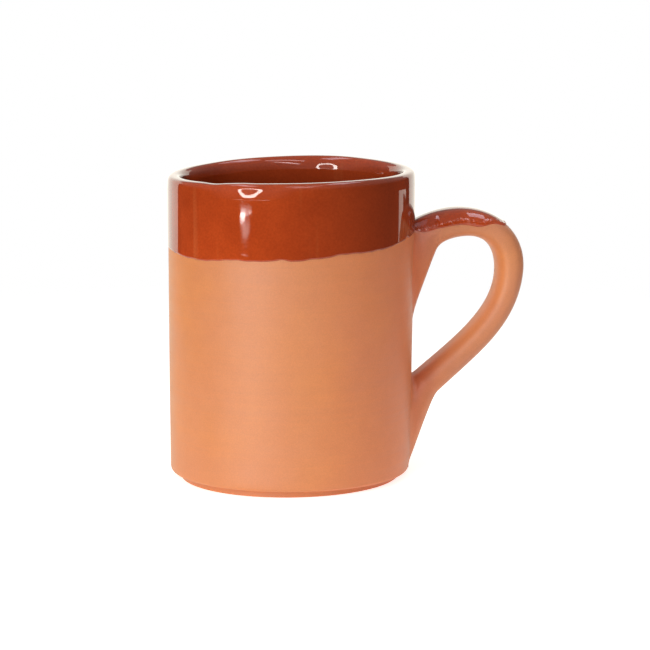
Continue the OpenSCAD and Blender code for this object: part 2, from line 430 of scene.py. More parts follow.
def earthenware(name, main, pink, deep, lines, gloss, sponged=0.0, low_side_shade=1.0, arm_shading=0.0):
    """Bare fired clay. lines is the size of the sponge's marks in mm: small across, large along them.
    sponged is how far fine level lines draw the soft sheen out upwards."""
    material, tree = new_material(name)
    place = add(tree, "TexCoord").outputs
    where = place["Object"]
    cast = add(tree, "TexNoise", {"Vector": where, "Scale": scale_for(CAST), "Detail": 3,
                                  "Roughness": 0.55})
    cast = add(tree, "MapRange", {"Value": cast.outputs["Fac"], "From Min": 0.32, "From Max": 0.66})
    colour = add(tree, "Mix", {FACTOR: cast.outputs["Result"], FIRST: linear(pink),
                               SECOND: linear(main)}, data_type="RGBA")
    blotch = add(tree, "TexNoise", {"Vector": where, "Scale": scale_for(BLOTCH), "Detail": 4,
                                    "Roughness": 0.6})
    blotch = add(tree, "MapRange", {"Value": blotch.outputs["Fac"], "From Min": 0.35, "From Max": 0.75,
                                    "To Min": 0, "To Max": 0.35})
    colour = add(tree, "Mix", {FACTOR: blotch.outputs["Result"], FIRST: colour.outputs[MIXED],
                               SECOND: linear(deep)}, data_type="RGBA")
    # Painted sheen: seen edge on, the clay is painted greyer and less red
    edge_on = add(tree, "LayerWeight", {"Blend": 0.5}).outputs["Facing"]
    edge_on = add(tree, "MapRange", {"Value": edge_on, "From Min": 0.65, "From Max": 0.92, "To Max": 0.4})
    colour = add(tree, "Mix", {FACTOR: edge_on.outputs["Result"], FIRST: colour.outputs[MIXED],
                               SECOND: linear("#b8895c")}, data_type="RGBA")
    colour = painted_light_and_shade(tree, colour.outputs[MIXED], place, low_side_shade, arm_shading)
    stretch = add(tree, "Mapping", {"Vector": where, "Scale": [scale_for(size) for size in lines]})
    wiped = add(tree, "TexNoise", {"Vector": stretch.outputs["Vector"], "Scale": 1, "Detail": 3,
                                   "Roughness": 0.6})
    wipe_tone = add(tree, "MapRange", {"Value": wiped.outputs["Fac"], "From Min": 0.3, "From Max": 0.7,
                                       "To Min": 0.98, "To Max": 1.015})
    grit = add(tree, "TexNoise", {"Vector": where, "Scale": scale_for(GRIT), "Detail": 2,
                                  "Roughness": 0.7})
    speck = add(tree, "MapRange", {"Value": grit.outputs["Fac"], "From Min": 0.3, "From Max": 0.7,
                                   "To Min": 0.94, "To Max": 1.05})
    tone = add(tree, "Math", {0: wipe_tone.outputs["Result"], 1: speck.outputs["Result"]},
               operation="MULTIPLY")
    colour = add(tree, "VectorMath", {0: colour, "Scale": tone.outputs["Value"]}, operation="SCALE")
    rough = add(tree, "MapRange", {"Value": wiped.outputs["Fac"], "From Min": 0.3, "From Max": 0.7,
                                   "To Min": 0.5, "To Max": 0.58})
    fine = add(tree, "Bump", {"Height": grit.outputs["Fac"], "Distance": 0.06 * MM, "Strength": 0.5})
    level = add(tree, "Bump", {"Height": wiped.outputs["Fac"], "Distance": 0.08 * MM, "Strength": 0.3,
                               "Normal": fine.outputs["Normal"]})
    round_it = add(tree, "Tangent", direction_type="RADIAL", axis="Z")
    clay = add(tree, "BsdfPrincipled", {
        "Base Color": colour.outputs["Vector"], "Roughness": rough.outputs["Result"], "IOR": 1.5,
        "Specular IOR Level": gloss, "Diffuse Roughness": 0.3, "Normal": level.outputs["Normal"],
        "Anisotropic": sponged, "Anisotropic Rotation": 0.25, "Tangent": round_it.outputs["Tangent"]})
    add(tree, "OutputMaterial", {"Surface": clay.outputs["BSDF"]})
    print(f"{name}: {len(tree.nodes)} nodes")
    return material

# %% The cup
# The cup's clay takes the painted shade on the handle's side and the painted sheen seen edge on
cup_clay = earthenware("red_earthenware_sponged", main="#e08a44", pink="#da864d", deep="#d27b3a",
                       lines=(83.33, 83.33, 0.8333), gloss=0.9, sponged=0.15)
clay_cup = loft("clay_cup", np.concatenate([inside_rows, outside_rows, underside_rows]))
finish_piece(clay_cup, "clay_cup", cup_clay)

# %% [markdown]
# ## The pulled handle
# A pulled handle is a strap of clay, drawn out with wet fingers, bent and pressed on at both ends. Its
# side view is drawn by two outlines, one outside and one inside, each a chain of five curves with four
# control points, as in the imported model. Between them stands a rounded section, partway from an ellipse
# to a rectangle. Both ends run into the wall. A curve with a bevel could draw such a strap, but here the
# section changes all the way along, so the sections are worked out as points.

# %% The handle's outlines
HANDLE_OUT, CREST_Z, TAIL_Z = 36.9, 86.7, 3.4
ARM_T, HALF_W, SPREAD = 8.8, 7.75, 2.25
RISE = CREST_Z - TAIL_Z
OUTER = np.array([
    [[-0.05, 0.939], [0.036, 0.964], [0.135, 0.98], [0.215, 0.989]],
    [[0.215, 0.989], [0.294, 0.997], [0.356, 1], [0.409, 1]],
    [[0.409, 1], [0.751, 1], [1.027, 0.901], [0.998, 0.746]],
    [[0.998, 0.746], [0.954, 0.531], [0.61, 0.426], [0.257, 0.282]],
    [[0.257, 0.282], [0.2, 0.259], [0.179, 0.229], [-0.04, -0.038]]])
INNER = np.array([
    [[-0.05, 0.536], [0.04, 0.636], [0.13, 0.753], [0.193, 0.832]],
    [[0.193, 0.832], [0.231, 0.878], [0.376, 0.994], [0.457, 0.996]],
    [[0.457, 0.996], [0.65, 1.001], [0.989, 0.841], [0.995, 0.758]],
    [[0.995, 0.758], [1.005, 0.6], [0.609, 0.416], [0.24, 0.265]],
    [[0.24, 0.265], [0.187, 0.251], [0.05, 0.228], [-0.04, 0.21]]])
THICK = np.array([
    [[0, 0], [0, 0], [0, 0], [0, 0]],
    [[0, 0], [0, 0], [0, -1], [0, -1]],
    [[0, -1], [0, -1], [-1, 0], [-1, 0]],
    [[-1, 0], [-1, 0], [-0.68, 0.73], [-0.72, 0.845]],
    [[-0.72, 0.845], [-0.6, 0.9], [-0.2, 1], [0, 1]]])


def outline(shares, thickness_and_shade, at):
    """Points of an outline in the XZ plane. at counts the curves: 2.5 is halfway along the third."""
    z = TAIL_Z + RISE * shares[..., 1]
    controls = np.stack([wall_r(z) + HANDLE_OUT * shares[..., 0], z], -1) + ARM_T * thickness_and_shade
    k = np.clip(at.astype(int), 0, 4)
    return bezier(controls[k], at - k)


print(f"handle: {len(OUTER)} curves, {RISE:.1f} mm from tail to crest")

# %% Points on the handle
SQUARENESS = 2.5


def rounded(v):
    return np.sign(v) * np.abs(v) ** (2 / SQUARENESS)


def handle_point(at, a):
    """Points on the handle: at along it, and at angle a round it, from the outer outline (0)."""
    at, a = np.broadcast_arrays(np.asarray(at, float), np.asarray(a, float))
    outer, inner = outline(OUTER, 0 * THICK, at), outline(INNER, THICK, at)
    middle, reach = (outer + inner) / 2, (outer - inner) / 2
    k = np.clip(at.astype(int), 0, 4)
    t = at - k
    root = np.where(k == 0, (1 - t) ** 2, np.where(k == 4, t * t, 0))
    half = HALF_W + SPREAD * root
    # The fingers left it a little uneven
    half = half * (1 + 0.012 * np.sin(at * 5 + 1) + 0.006 * np.sin(at * 13))
    flat = middle + reach * rounded(np.cos(a))[..., None]
    # Inside the wall the tail stops short of the ledge
    height = np.where(k == 4, np.maximum(flat[..., 1], TAIL_Z + 0.05), flat[..., 1])
    return np.stack([flat[..., 0], half * rounded(np.sin(a)), height], -1)


def handle_normal(at, a):
    """Unit normals of the handle's surface, worked out from points close by on both sides."""
    along = handle_point(np.clip(at + 0.004, 0, 4.999), a) - handle_point(np.clip(at - 0.004, 0, 4.999), a)
    round_it = handle_point(at, a + 0.02) - handle_point(at, a - 0.02)
    normal = np.cross(along, round_it)
    return normal / np.maximum(np.linalg.norm(normal, axis=-1, keepdims=True), 1e-12)


HANDLE_COLS = 72
# Rows are about 0.8 mm apart along the arm
steps = [26, 12, 44, 62, 36]
along = np.concatenate([k + np.arange(n) / n for k, n in enumerate(steps)] + [[4.9999]])
angles = np.arange(HANDLE_COLS) * 2 * math.pi / HANDLE_COLS
handle_rows = handle_point(along[:, None], angles[None, :])
crest = handle_rows[..., 2].max()
print(f"handle's crest at {crest:.1f} mm, reach {handle_rows[..., 0].max():.1f} mm")

# %% The handle
# The arm takes painted light on the side facing the cup and painted shade on its outer side
handle_clay = earthenware("red_earthenware_pulled", main="#e18a50", pink="#d98458", deep="#cf7847",
                          lines=(6.25, 1.111, 6.25), gloss=0.7, low_side_shade=0.5, arm_shading=1.0)
handle = loft("handle", by_hand(handle_rows))
finish_piece(handle, "handle", handle_clay)

# %% [markdown]
# ## The slip that joins them
# Slip is clay stirred in water. The potter scores both faces, presses the handle on and wipes the slip
# that squeezes out into a small hollow round. It is made as a ring about each root: from a line on the
# handle a little off the wall, down to the crease, and out onto the wall. The control point of each
# curve lies in the crease, which makes the ring leave both surfaces smoothly. A boolean union with a
# bevel could round the crease too, but it would melt cup and handle into one. Under the glaze it shrinks
# to almost nothing, because a plain crease is seen there. So the line where the dip ends is needed
# first. The mug hung a little askew in the glaze: the line is lowest in front on the left, climbs
# towards the back on the right, and wanders by half a millimetre where the glaze ran.

# %% Where the handle meets the wall
# Each halving brings a search twice as close
HALVINGS = 40


def off_wall(p):
    return np.hypot(p[..., 0], p[..., 1]) - wall_r(p[..., 2])


def crossing(low, high, a, distance):
    """Where along the handle its surface stands this far off the wall, at each angle a."""
    near, far = np.full_like(a, low), np.full_like(a, high)
    for _ in range(HALVINGS):
        middle = (near + far) / 2
        inside = off_wall(handle_point(middle, a)) < distance
        near, far = np.where(inside, middle, near), np.where(inside, far, middle)
    return (near + far) / 2


on_top = handle_point(crossing(0.02, 0.9, np.zeros(1), 0), np.zeros(1))[0]
print(f"the handle leaves the wall {on_top[2]:.1f} mm above the floor")

# %% Where the dip ends
# Height of the glaze's edge on the cup, by azimuth from the handle, as seen and continued round the back
EDGE = np.array([
    [-169, 76.5], [-163, 76.3], [-157, 75.9], [-154, 75.8], [-147, 75.6], [-140, 75.5], [-134, 75.8],
    [-129, 76.2], [-121, 76.4], [-116, 76.1], [-109, 76.2], [-103, 76.6], [-100.5, 76.8], [-98, 76.3],
    [-93, 76.2], [-87, 76.8], [-79, 77.0], [-77, 77.5], [-74, 77.8], [-68, 77.7], [-59, 77.7],
    [-52, 78.0], [-45, 78.3], [-41, 78.7], [-37, 79.3], [-33, 79.4], [-28, 79.8], [-21, 80.1],
    [-12, 80.4], [0, 80.9], [12, 81.4], [22, 82.1], [35, 82.0], [44, 82.5], [57, 82.2], [66, 82.4],
    [78, 81.6], [90, 81.5], [97, 80.9], [110, 80.6], [121, 79.7], [130, 79.6], [142, 78.4],
    [153, 78.0], [165, 77.2], [178, 77.0]])
# Height of the edge on the near side of the handle, by distance from the axis
ARM_EDGE = np.array([
    [38, 80.1], [42.7, 79.8], [45.6, 80.4], [47.3, 81.2], [49, 81.3], [51.3, 81.9], [53.9, 82.1],
    [56.6, 82.1], [58.9, 81.5], [60.6, 81.2], [62.6, 81.4], [63.9, 81.9], [65.6, 82.2], [67.6, 81.7],
    [69.5, 80.9], [71.4, 80.9], [72.9, 80.0], [76, 79.6]])
# A chip in the edge, beside the handle: its azimuth, half its width in degrees, and its height
CHIP_AT, CHIP_W, CHIP_H = -29.5, 2.2, 0.9
# How much the edge climbs for each mm across the handle
CLIMB = 0.061


def smooth_read(table, at, period=None):
    """A table read with soft turns: the mean of straight reads a little to each side."""
    reads = [np.interp(at + d, table[:, 0], table[:, 1], period=period) for d in (-1.2, -0.4, 0.4, 1.2)]
    return sum(reads) / 4


def edge_height(angle):
    """The edge's height on the cup. Angle is in radians."""
    deg = np.degrees(angle)
    ripple = 0.05 * np.sin(31 * angle) + 0.04 * np.sin(53 * angle + 1)
    chip = CHIP_H * np.clip(1 - np.abs(deg - CHIP_AT) / CHIP_W, 0, 1)
    return smooth_read(EDGE, deg, 360) + ripple + chip


def arm_edge_height(x, y):
    """The edge's height on the handle. It climbs towards the far side, as the dip was askew."""
    wave = 0.25 * np.sin(x / 2.3) * np.clip((y + 2) / 6, 0, 1)
    return smooth_read(ARM_EDGE, x) + CLIMB * (y + HALF_W) + wave


print("glaze edge from", round(float(edge_height(azimuth).min()), 1), "to",
      round(float(edge_height(azimuth).max()), 1), "mm")

# %% The slip rings
# How far the hidden back of a ring lies in the clay
SLIP_SUNK = 0.3


def slip_ring(name, low, high, size):
    """A hollow round of slip about the root where `at` runs from low, in the wall, to high."""
    a = np.arange(96) * 2 * math.pi / 96
    crease_at = crossing(low, high, a, 0)
    crease = handle_point(crease_at, a)
    under_glaze = np.clip((crease[:, 2] - arm_edge_height(crease[:, 0], crease[:, 1]) + 1.5) / 2, 0, 1)
    width = size * (1 - 0.85 * under_glaze) * (1 + 0.12 * np.sin(a * 7) + 0.08 * np.sin(a * 11 + 2))
    on_handle = handle_point(crossing(low, high, a, width), a)
    # Away from the handle, along the wall
    angle = np.arctan2(crease[:, 1], crease[:, 0])
    away = handle_normal(crease_at, a)
    outward = np.stack([np.cos(angle), np.sin(angle), 0 * angle], -1)
    away = away - outward * (away * outward).sum(axis=-1, keepdims=True)
    away /= np.linalg.norm(away, axis=-1, keepdims=True)
    on_wall = crease + away * width[:, None]
    to_wall = wall_r(on_wall[:, 2]) / np.hypot(on_wall[:, 0], on_wall[:, 1])
    on_wall *= to_wall[:, None] * [1, 1, 0] + [0, 0, 1]
    rows = []
    for t in np.linspace(0, 1, 9):
        rows.append(on_handle * (1 - t) ** 2 + crease * 2 * t * (1 - t) + on_wall * t * t)
    deep = handle_normal(crossing(low, high, a, width), a)
    # It takes the handle's own shading at one edge and the wall's at the other, so no edge shows
    normals = facing(np.array(rows))
    way = np.sign((normals[0] * deep).sum())
    normals *= way
    normals[0], normals[-1] = deep, outward
    between = outward + deep
    between /= np.linalg.norm(between, axis=-1, keepdims=True)
    rows.append(on_wall - outward * SLIP_SUNK)
    rows.append(crease - outward * SLIP_SUNK - deep * SLIP_SUNK)
    rows.append(on_handle - deep * SLIP_SUNK)
    loops, normals = by_hand(np.array(rows)), np.concatenate([normals, [-outward, -between, -deep]])
    # The handle leaves one root and comes back to the other, so one of the two rings is turned round
    if way > 0:
        loops, normals = loops[:, ::-1], normals[:, ::-1]
    return loft(name, loops, ring=True, normals=normals)


# Like the handle, the slip takes the painted shade towards the handle, half of it low down
slip_clay = earthenware("luting_slip_wiped", main="#e18a50", pink="#d98458", deep="#cf7847",
                        lines=(3.333, 3.333, 3.333), gloss=0.7, low_side_shade=0.5)
for name, low, high, size in (("slip_seam_upper", 0.02, 0.9, 3.0), ("slip_seam_lower", 4.98, 4.1, 2.0)):
    finish_piece(slip_ring(name, low, high, size), name, slip_clay)

# %% [markdown]
# ## The glaze on the cup
# The glaze is a coat of glass 0.3 mm thick. Inside, it was poured and swirled, and outside, the mug was
# dipped. Both lie on the clay that was made above, so their points are the clay's points, moved out
# along the normals. At the end of the dip the coat rounds off, as surface tension leaves it. The rows
# of the outer coat follow that edge, so it stays crisp from close by. A Solidify modifier could thicken
# a copy of the clay, but it leaves a square edge.

# %% One surface for both coats
# The coat rounds off over this width at its edge, and its hidden back lies this deep in the clay
EDGE_ROUND, SUNK = 0.45, 0.06


def coat_thickness(from_edge, bead, bead_at, bead_width):
    """The glaze's thickness at distances from its edge. A bead of the height bead runs along the edge,
    bead_at inside it, and fades over bead_width on both sides. All in mm."""
    rounding = np.clip(1 - from_edge / EDGE_ROUND, 0, 1)
    swell = bead * np.exp(-((from_edge - bead_at) / bead_width) ** 2)
    return GLAZE_T * np.sqrt(1 - rounding ** 2) + swell


# Rows lie closer together towards the edge
depth = 1 - (1 - np.linspace(0, 1, 70)) ** 1.6
edge_z = edge_height(azimuth)[None, :]
# Rows lie close together at the crease where the thumb's flat begins, to keep it crisp
crease_z = np.array([95.8, 95.6, 95.53, 95.505, 95.495, 95.47, 95.3])
below_lip = crease_z[-1] + (edge_z - crease_z[-1]) * depth[1:, None]
crease_line = np.stack([wall_r(crease_z), crease_z], -1)
clay_lip = turned(*column(np.concatenate([outside_lip[1:], crease_line])))
clay_band = turned(wall_r(below_lip), below_lip)
clay_skin = np.concatenate([inside_rows, clay_lip, clay_band])
crown_row = len(inside_rows) - 1

# Everything above the band's rows counts as far from the edge
far_off = np.full((len(clay_skin) - len(below_lip), COLS), 99.0)
to_edge = np.concatenate([far_off, below_lip - edge_z])
thickness = coat_thickness(to_edge, 0.004, 1.4, 0.8)
thickness[-1] = 0
outward_skin = -facing(clay_skin, poles=True)
skin = clay_skin + outward_skin * thickness[..., None]
skin_normal = -facing(skin, poles=True)
back = clay_skin - outward_skin * SUNK
print("coat thickness from", round(float(thickness.min()), 2), "to", round(float(thickness.max()), 2), "mm")

# %% [markdown]
# ## Honey glaze
# A lead-free transparent glaze, tinted amber by iron, over red clay: deep orange-brown like a chestnut,
# wet-looking, with a faint orange peel that breaks up reflections. Glass over clay is a rough colour under
# a sharp gloss, so the roughness is low and the IOR that of glass. It ran while the mug dripped, which left
# faint pale streaks a few millimetres apart. Outside it is painted darker towards the handle, on the side
# that the lamp reaches less, and lighter again out on the handle: painted shade. Inside, its colours are
# painted darker than outside, and darker still from just below the lip down into the cup: painted shade.
# The band is a little darker at the rim and brighter low down. Seen edge on there is more glass to look
# through, so it turns a darker brown. A clear coat over the clay itself would be the truest way, but at 0.3
# mm it is slow and noisy to render.
# One coloured surface with a sharp gloss looks the same.

# %% Honey glaze
# Sizes in mm of the pools, the fine specks and the orange peel
POOL, SPECK, PEEL = 14.286, 0.6667, 1.1111
# The streaks are this wide, and this long up the wall
STREAK_W, STREAK_L = 3.846, 111.1
# The band's brightness changes between these heights
BAND_LOW, BAND_HIGH = 76, 99


def honey_glaze(name, main, deep, pale, thickness_and_shade, edge, axis, shade_from_to, lighter_from_to=(0, 1), lighter_share=0.0,
                at_rim=1.0):
    """A glaze painted with the shade colour thickness_and_shade along an axis of the mug, over the mm that
    shade_from_to gives, and losing the share lighter_share of it again over the mm of lighter_from_to:
    painted shade. Seen edge on it has the colour edge. at_rim is its brightness at the rim, and low down it
    is brighter by as much as it is darker there."""
    material, tree = new_material(name)
    where = add(tree, "TexCoord").outputs["Object"]
    pool = add(tree, "TexNoise", {"Vector": where, "Scale": scale_for(POOL), "Detail": 3,
                                  "Roughness": 0.5})
    pool = add(tree, "MapRange", {"Value": pool.outputs["Fac"], "From Min": 0.3, "From Max": 0.65})
    colour = add(tree, "Mix", {FACTOR: pool.outputs["Result"], FIRST: linear(deep),
                               SECOND: linear(main)}, data_type="RGBA")
    stretch = [scale_for(STREAK_W), scale_for(STREAK_W), scale_for(STREAK_L)]
    drawn = add(tree, "Mapping", {"Vector": where, "Scale": stretch})
    runs = add(tree, "TexNoise", {"Vector": drawn.outputs["Vector"], "Scale": 1, "Detail": 2})
    streak = add(tree, "MapRange", {"Value": runs.outputs["Fac"], "From Min": 0.60, "From Max": 0.74,
                                    "To Min": 0, "To Max": 0.35})
    colour = add(tree, "Mix", {FACTOR: streak.outputs["Result"], FIRST: colour.outputs[MIXED],
                               SECOND: linear(pale)}, data_type="RGBA")
    axes = add(tree, "SeparateXYZ", {"Vector": where}).outputs
    # Painted shade: the glaze darkens along the axis and lightens again further on
    shading = add(tree, "MapRange", {"Value": axes[axis], "From Min": shade_from_to[0] * MM,
                                     "From Max": shade_from_to[1] * MM})
    lightening = add(tree, "MapRange", {"Value": axes[axis], "From Min": lighter_from_to[0] * MM,
                                     "From Max": lighter_from_to[1] * MM, "To Max": lighter_share})
    depth = add(tree, "Math", {0: shading.outputs["Result"], 1: lightening.outputs["Result"]},
                operation="SUBTRACT")
    colour = add(tree, "Mix", {FACTOR: depth.outputs["Value"], FIRST: colour.outputs[MIXED],
                               SECOND: linear(thickness_and_shade)}, data_type="RGBA")
    edge_on = add(tree, "LayerWeight", {"Blend": 0.5}).outputs["Facing"]
    edge_on = add(tree, "MapRange", {"Value": edge_on, "From Min": 0.55, "From Max": 0.85, "To Max": 1})
    colour = add(tree, "Mix", {FACTOR: edge_on.outputs["Result"], FIRST: colour.outputs[MIXED],
                               SECOND: linear(edge)}, data_type="RGBA")
    speck = add(tree, "TexNoise", {"Vector": where, "Scale": scale_for(SPECK), "Detail": 2})
    tone = add(tree, "MapRange", {"Value": speck.outputs["Fac"], "From Min": 0.3, "From Max": 0.7,
                                  "To Min": 0.9, "To Max": 1.08})
    # Darker at the rim and brighter low down
    rim_to_low_tone = add(tree, "MapRange", {"Value": axes["Z"], "From Min": BAND_LOW * MM,
                                    "From Max": BAND_HIGH * MM, "To Min": 2 - at_rim, "To Max": at_rim})
    tone = add(tree, "Math", {0: tone.outputs["Result"], 1: rim_to_low_tone.outputs["Result"]},
               operation="MULTIPLY")
    colour = add(tree, "VectorMath", {0: colour.outputs[MIXED], "Scale": tone.outputs["Value"]},
                 operation="SCALE")
    peel = add(tree, "TexNoise", {"Vector": where, "Scale": scale_for(PEEL), "Detail": 1})
    peel = add(tree, "Bump", {"Height": peel.outputs["Fac"], "Distance": 0.06 * MM, "Strength": 0.025})
    sag = add(tree, "Bump", {"Height": runs.outputs["Fac"], "Distance": 0.12 * MM, "Strength": 0.3,
                             "Normal": peel.outputs["Normal"]})
    glass = add(tree, "BsdfPrincipled", {
        "Base Color": colour.outputs["Vector"], "Roughness": 0.03, "IOR": 1.52,
        "Normal": sag.outputs["Normal"]})
    add(tree, "OutputMaterial", {"Surface": glass.outputs["BSDF"]})
    print(f"{name}: {len(tree.nodes)} nodes")
    return material


# Outside, the painted shade falls on the side towards the handle and lifts again out on the handle
dip_glaze = honey_glaze("honey_glaze_dipped", main="#bc491d", deep="#aa3f17", pale="#c5673a",
                        thickness_and_shade="#883418", edge="#6e2a14", axis="X", shade_from_to=(-15, 29),
                        lighter_from_to=(29, 45), lighter_share=0.92, at_rim=0.95)
# Inside, the glaze's colours are painted darker than outside, and darker still down into the cup: painted
# shade
liner_glaze = honey_glaze("honey_glaze_poured", main="#b04622", deep="#a03c1a", pale="#b65c36",
                          thickness_and_shade="#742810", edge="#5c200c", axis="Z", shade_from_to=(100, 88))

# %% The two coats on the cup
liner_loops = np.concatenate([skin[:crown_row + 1], back[:crown_row + 1][::-1]])
liner_normals = np.concatenate([skin_normal[:crown_row + 1], -outward_skin[:crown_row + 1][::-1]])
glaze_liner = loft("glaze_liner", liner_loops, normals=liner_normals)
finish_piece(glaze_liner, "glaze_liner", liner_glaze)

band_loops = np.concatenate([skin[crown_row:], back[crown_row:][::-1]])
band_normals = np.concatenate([skin_normal[crown_row:], -outward_skin[crown_row:][::-1]])
glaze_band = loft("glaze_band", band_loops, ring=True, normals=band_normals)
finish_piece(glaze_band, "glaze_band", dip_glaze)

# %% [markdown]
# ## The glaze on the handle
# The dip reached the crest of the handle. This coat is a saddle over the top of the arm. At each
# place along the arm its two sides stop where the surface passes the edge's height, and it closes at
# the far end, where the arm turns down through that height. So the sides are found first, by looking
# round each section from the top, and the columns are then spread between them. Cutting a coat off at
# the line with a boolean would leave a ragged, square edge. On the narrow arm the glaze drew together
# into a crinkled bead along its edge.

# %% Find the sides of the saddle
# The coat starts inside the wall, and the search for its sides stops at this angle
SADDLE_START, WIDEST = 0.02, 2.6


def side_angle(at, sign):
    """The angle round the section, from the top, at which the surface passes the glaze's edge."""
    a = np.linspace(0, WIDEST, 400)
    p = handle_point(np.full_like(a, at), a * sign)
    above = p[:, 2] - arm_edge_height(p[:, 0], p[:, 1])
    under = np.argmax(above < 0)
    if above[0] <= 0:
        return 0.0
    if above[under] >= 0:
        return WIDEST
    share = above[under - 1] / (above[under - 1] - above[under])
    return float(a[under - 1] + share * (a[1] - a[0]))


tip_near, tip_far = 2.0, 3.0
for _ in range(HALVINGS):
    tip_at = (tip_near + tip_far) / 2
    tip = handle_point(tip_at, 0.0)
    if tip[2] > arm_edge_height(tip[0], tip[1]):
        tip_near = tip_at
    else:
        tip_far = tip_at
# Sections lie closer together towards the tip
closer = 1 - (1 - np.linspace(0, 1, 220)) ** 1.5
saddle_at = SADDLE_START + (tip_at - SADDLE_START) * closer
near_side = np.array([side_angle(t, -1) for t in saddle_at])
far_side = np.array([side_angle(t, 1) for t in saddle_at])
print(f"the coat ends {handle_point(tip_at, 0.0)[0]:.1f} mm from the axis")

# %% The coat on the handle
SADDLE_COLS = 49
spread_out = np.sin(np.linspace(-1, 1, SADDLE_COLS) * math.pi / 2)
turn = np.where(spread_out < 0, near_side[:, None] * spread_out, far_side[:, None] * spread_out)
on_clay = by_hand(handle_point(saddle_at[:, None], turn))
out = handle_normal(saddle_at[:, None], turn)
walk = np.linalg.norm(np.diff(on_clay, axis=1), axis=2)
from_near = np.concatenate([np.zeros((len(walk), 1)), np.cumsum(walk, axis=1)], axis=1)
from_edge = np.minimum(from_near, from_near[:, -1:] - from_near)
from_edge = np.minimum(from_edge, np.linalg.norm(on_clay - on_clay[-1].mean(axis=0), axis=2))
# The crinkles follow each other along the crest
run = np.linalg.norm(np.diff(on_clay[:, SADDLE_COLS // 2], axis=0), axis=1)
run = np.concatenate([[0], np.cumsum(run)])[:, None]
crinkle = np.sin(run * 4.1 + 2 * np.sin(run * 0.9)) * np.sin(run * 2.3 + from_edge * 2)
coat = coat_thickness(from_edge, 0.15 + 0.12 * crinkle, 1.3, 0.55)
# Both sides come to nothing at the very edge
coat = coat * np.clip(from_edge / 0.1, 0, 1)
saddle = on_clay + out * coat[..., None]
saddle_back = on_clay - out * SUNK
loops = np.concatenate([saddle, saddle_back[:, ::-1]], axis=1)
handle_glaze = loft("handle_glaze", loops)
finish_piece(handle_glaze, "handle_glaze", dip_glaze)

# %% [markdown]
# ## The studio
# A white floor in a white room, a large ring lamp in front on the left, and a soft lamp overhead. The
# floor fades out at its rim, so the white behind has no horizon. It glows more for the camera and for
# reflections than for other rays, and its paint takes the mug's shadow. Glossy glaze shows what stands
# round it, so small windows and lamps stand far off for the gloss alone. Dark cloths hang in front, at
# one side and overhead, and only reflections see them: they keep the glaze deep, as a photographer's
# black cards do.

# %% World
AMBIENT, MIRRORED = 0.48, 1.75
# The tints of light are ratios of red, green and blue
WHITE, WARM, CREAM = (1, 1, 1, 1), (1, 0.92, 0.84, 1), (1, 0.96, 0.86, 1)


def seen_directly(tree, rays):
    """1 for the rays of the camera, of gloss and of glass, and 0 for those that carry soft light."""
    seen = add(tree, "Math", {0: rays["Is Camera Ray"], 1: rays["Is Glossy Ray"]}, operation="ADD")
    seen = add(tree, "Math", {0: seen.outputs["Value"], 1: rays["Is Transmission Ray"]}, operation="ADD",
               use_clamp=True)
    return seen.outputs["Value"]


world = bpy.data.worlds.new("white_room")
bpy.context.scene.world = world
world.use_nodes = True
tree = world.node_tree
tree.nodes.clear()
rays = add(tree, "LightPath").outputs
seen = seen_directly(tree, rays)
strength = add(tree, "MapRange", {"Value": seen, "To Min": AMBIENT, "To Max": 1})
strength = add(tree, "Math", {0: rays["Is Glossy Ray"], 1: MIRRORED - 1, 2: strength.outputs["Result"]},
               operation="MULTIPLY_ADD")
tint = add(tree, "Mix", {FACTOR: seen, FIRST: WARM, SECOND: WHITE}, data_type="RGBA")
tint = add(tree, "Mix", {FACTOR: rays["Is Glossy Ray"], FIRST: tint.outputs[MIXED], SECOND: CREAM},
           data_type="RGBA")
sky = add(tree, "Background", {"Color": tint.outputs[MIXED], "Strength": strength.outputs["Value"]})
add(tree, "OutputWorld", {"Surface": sky.outputs["Background"]})
print("room: soft light", AMBIENT, "in reflections", MIRRORED)

# %% Floor
FADE_START, FADE_END = 160, 400
SPOKES, RADII = 96, [1, 50, 120, 200, 300, 420]
floor_material, tree = new_material("white_floor")
where = add(tree, "TexCoord").outputs["Object"]
distance = add(tree, "VectorMath", {0: where}, operation="LENGTH")
fade = add(tree, "MapRange", {"Value": distance.outputs["Value"], "From Min": FADE_START * MM,
                              "From Max": FADE_END * MM}, interpolation_type="SMOOTHSTEP")
seen = seen_directly(tree, add(tree, "LightPath").outputs)
glow = add(tree, "MapRange", {"Value": seen, "To Min": 0.39, "To Max": 0.75})
paint = add(tree, "BsdfDiffuse", {"Color": linear("#f1f1f1")})
shine = add(tree, "Emission", {"Color": WHITE, "Strength": glow.outputs["Result"]})
lit = add(tree, "AddShader", {0: paint.outputs["BSDF"], 1: shine.outputs["Emission"]})
clear = add(tree, "BsdfTransparent")
# From below it isn't seen at all
below = add(tree, "NewGeometry").outputs["Backfacing"]
gone = add(tree, "Math", {0: fade.outputs["Result"], 1: below}, operation="MAXIMUM")
blend = add(tree, "MixShader", {0: gone.outputs["Value"], 1: lit.outputs["Shader"],
                                2: clear.outputs["BSDF"]})
add(tree, "OutputMaterial", {"Surface": blend.outputs["Shader"]})

turns = [2 * math.pi * j / SPOKES for j in range(SPOKES)]
# It lies a hair below the standing face
points = [(r * MM * math.cos(t), r * MM * math.sin(t), -0.05 * MM) for r in RADII for t in turns]
faces = []
for i in range(len(RADII) - 1):
    near, far = i * SPOKES, (i + 1) * SPOKES
    faces += [(near + j, far + j, far + (j + 1) % SPOKES, near + (j + 1) % SPOKES)
              for j in range(SPOKES)]
faces.append(tuple(range(SPOKES)))
floor_mesh = bpy.data.meshes.new("floor")
floor_mesh.from_pydata(points, [], faces)
floor_mesh.materials.append(floor_material)
floor = bpy.data.objects.new("floor", floor_mesh)
bpy.context.collection.objects.link(floor)
floor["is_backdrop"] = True
print("floor:", len(faces), "faces, out to", RADII[-1], "mm")

